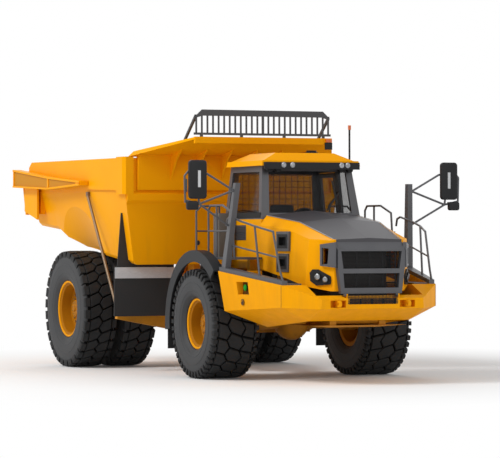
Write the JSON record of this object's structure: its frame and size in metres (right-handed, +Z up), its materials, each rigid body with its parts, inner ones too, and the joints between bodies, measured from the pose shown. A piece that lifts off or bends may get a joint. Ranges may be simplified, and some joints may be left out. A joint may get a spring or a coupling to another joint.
{
  "type": "two-axle articulated dump truck",
  "caption": "Articulated dump truck: cab and hood on a front frame steered at a central pivot, and a tipping bed with canopy, rock guard and tailgate on dual rear wheels.",
  "frame": {"origin": "on the ground below the middle of the overall length and width", "axes": "+X forward, +Y to the machine's left, +Z up; bed down, wheels straight"},
  "size_m": [11.1249, 5.2358, 4.7099],
  "materials": {
    "yellow_paint": "satin",
    "dark_paint": "satin",
    "charcoal_paint": "satin",
    "chassis": "satin",
    "black_plastic": "matte",
    "black_rubber": "matte",
    "tyre": "matte",
    "glass": "polished",
    "lamp": "glossy",
    "beacon": "glossy",
    "seat_fabric": "matte",
    "cast_metal": "matte",
    "rod_chrome": "polished",
    "strip_metal": "brushed"
  },
  "bodies": {
    "front": {"front_frame": "yellow_paint", "side_boxes": "yellow_paint", "front_bumper": "yellow_paint", "bumper_intake": "black_plastic", "belly_guard": "yellow_paint", "front_fenders": "dark_paint", "walkways": "dark_paint", "mud_flaps": "black_rubber", "cab_tub": "yellow_paint", "cab_frame": "dark_paint", "cab_glass": "glass", "cab_roof": "yellow_paint", "visor": "black_plastic", "work_lamps": "lamp", "beacon": "beacon", "antenna": "black_plastic", "driver_seat": "seat_fabric", "dashboard": "black_plastic", "engine": "cast_metal", "radiator": "cast_metal", "front_axle": "yellow_paint", "mirror_posts": "dark_paint", "mirror_arms": "black_plastic", "mirrors": "black_plastic", "handrails": "dark_paint"},
    "yoke": {"articulation_yoke": "yellow_paint"},
    "steering_barrel_left": {"steering_barrel_left": "chassis"},
    "steering_barrel_right": {"steering_barrel_right": "chassis"},
    "steering_rod_left": {"steering_rod_left": "rod_chrome"},
    "steering_rod_right": {"steering_rod_right": "rod_chrome"},
    "rear": {"rear_frame": "yellow_paint", "rear_axle": "yellow_paint"},
    "hoist_barrel_left": {"hoist_barrel_left": "chassis"},
    "hoist_barrel_right": {"hoist_barrel_right": "chassis"},
    "hoist_rod_left": {"hoist_rod_left": "rod_chrome"},
    "hoist_rod_right": {"hoist_rod_right": "rod_chrome"},
    "bin": {"bin_body": "yellow_paint", "canopy": "yellow_paint", "rock_guard": "charcoal_paint", "mud_panels": "black_rubber", "mud_panel_strips": "strip_metal", "panel_stays": "black_rubber"},
    "tailgate": {"tailgate": "yellow_paint"},
    "hood": {"hood_flanks": "yellow_paint", "hood_top": "dark_paint", "hood_vents": "black_plastic", "hood_mask": "charcoal_paint", "grilles": "black_plastic", "headlamps": "charcoal_paint"},
    "door": {"cab_door": "dark_paint", "door_glass": "glass"},
    "front_wheel_left": {"front_tyre_left": "tyre", "front_rim_left": "yellow_paint"},
    "front_wheel_right": {"front_tyre_right": "tyre", "front_rim_right": "yellow_paint"},
    "rear_wheel_left": {"rear_tyres_left": "tyre", "rear_rims_left": "yellow_paint"},
    "rear_wheel_right": {"rear_tyres_right": "tyre", "rear_rims_right": "yellow_paint"}
  },
  "joints": [
    {"name": "steering", "type": "hinge", "parent": "front", "child": "yoke", "pos_m": [1.043, 0, 1], "axis": [0, 0, 1], "range_deg": [-42, 42]},
    {"name": "oscillation", "type": "hinge", "parent": "yoke", "child": "rear", "pos_m": [0.693, 0, 1], "axis": [-1, 0, 0], "range_deg": [-15, 15]},
    {"name": "tip", "type": "hinge", "parent": "rear", "child": "bin", "pos_m": [-3.707, 0, 1.75], "axis": [0, -1, 0], "range_deg": [0, 70]},
    {"name": "tailgate_open", "type": "hinge", "parent": "bin", "child": "tailgate", "pos_m": [-1.957, 0, 3.45], "axis": [0, 1, 0], "range_deg": [0, 35]},
    {"name": "hoist_swing_left", "type": "hinge", "parent": "rear", "child": "hoist_barrel_left", "pos_m": [-0.997, 0.67, 1], "axis": [0, 1, 0], "range_deg": [0, 1.5]},
    {"name": "hoist_extend_left", "type": "slide", "parent": "hoist_barrel_left", "child": "hoist_rod_left", "axis": [-0.8108, 0, 0.5853], "range_m": [0, 1.43]},
    {"name": "steering_swing_left", "type": "hinge", "parent": "front", "child": "steering_barrel_left", "pos_m": [2.093, 0.64, 1], "axis": [0, 0, 1], "range_deg": [-2.4, 2.4]},
    {"name": "steering_extend_left", "type": "slide", "parent": "steering_barrel_left", "child": "steering_rod_left", "axis": [-0.9539, -0.3002, 0], "range_m": [-0.195, 0.195]},
    {"name": "hoist_swing_right", "type": "hinge", "parent": "rear", "child": "hoist_barrel_right", "pos_m": [-0.997, -0.67, 1], "axis": [0, 1, 0], "range_deg": [0, 1.5]},
    {"name": "hoist_extend_right", "type": "slide", "parent": "hoist_barrel_right", "child": "hoist_rod_right", "axis": [-0.8108, 0, 0.5853], "range_m": [0, 1.43]},
    {"name": "steering_swing_right", "type": "hinge", "parent": "front", "child": "steering_barrel_right", "pos_m": [2.093, -0.64, 1], "axis": [0, 0, 1], "range_deg": [-2.4, 2.4]},
    {"name": "steering_extend_right", "type": "slide", "parent": "steering_barrel_right", "child": "steering_rod_right", "axis": [-0.9539, 0.3002, 0], "range_m": [-0.195, 0.195]},
    {"name": "hood_open", "type": "hinge", "parent": "front", "child": "hood", "pos_m": [5.441, 0, 1.484], "axis": [0, 1, 0], "range_deg": [0, 60]},
    {"name": "door_open", "type": "hinge", "parent": "front", "child": "door", "pos_m": [1.701, 0.9641, 2.6], "axis": [0, 0, 1], "range_deg": [0, 75]},
    {"name": "front_wheel_spin_left", "type": "hinge", "parent": "front", "child": "front_wheel_left", "pos_m": [2.313, 1.467, 0.949], "axis": [0, 1, 0], "continuous": true},
    {"name": "front_wheel_spin_right", "type": "hinge", "parent": "front", "child": "front_wheel_right", "pos_m": [2.313, -1.467, 0.949], "axis": [0, 1, 0], "continuous": true},
    {"name": "rear_wheel_spin_left", "type": "hinge", "parent": "rear", "child": "rear_wheel_left", "pos_m": [-2.907, 1.548, 1.0965], "axis": [0, 1, 0], "continuous": true},
    {"name": "rear_wheel_spin_right", "type": "hinge", "parent": "rear", "child": "rear_wheel_right", "pos_m": [-2.907, -1.548, 1.0965], "axis": [0, 1, 0], "continuous": true}
  ],
  "couplings": [
    {"joint": "tailgate_open", "follows": "tip", "ratio": 0.5},
    {"joint": "hoist_swing_left", "follows": "tip", "ratio": 0.0208},
    {"joint": "hoist_extend_left", "follows": "tip", "m_per_rad": 1.17},
    {"joint": "steering_swing_left", "follows": "steering", "ratio": -0.0568},
    {"joint": "steering_extend_left", "follows": "steering", "m_per_rad": 0.2657},
    {"joint": "hoist_swing_right", "follows": "tip", "ratio": 0.0208},
    {"joint": "hoist_extend_right", "follows": "tip", "m_per_rad": 1.17},
    {"joint": "steering_swing_right", "follows": "steering", "ratio": -0.0568},
    {"joint": "steering_extend_right", "follows": "steering", "m_per_rad": -0.2657}
  ]
}
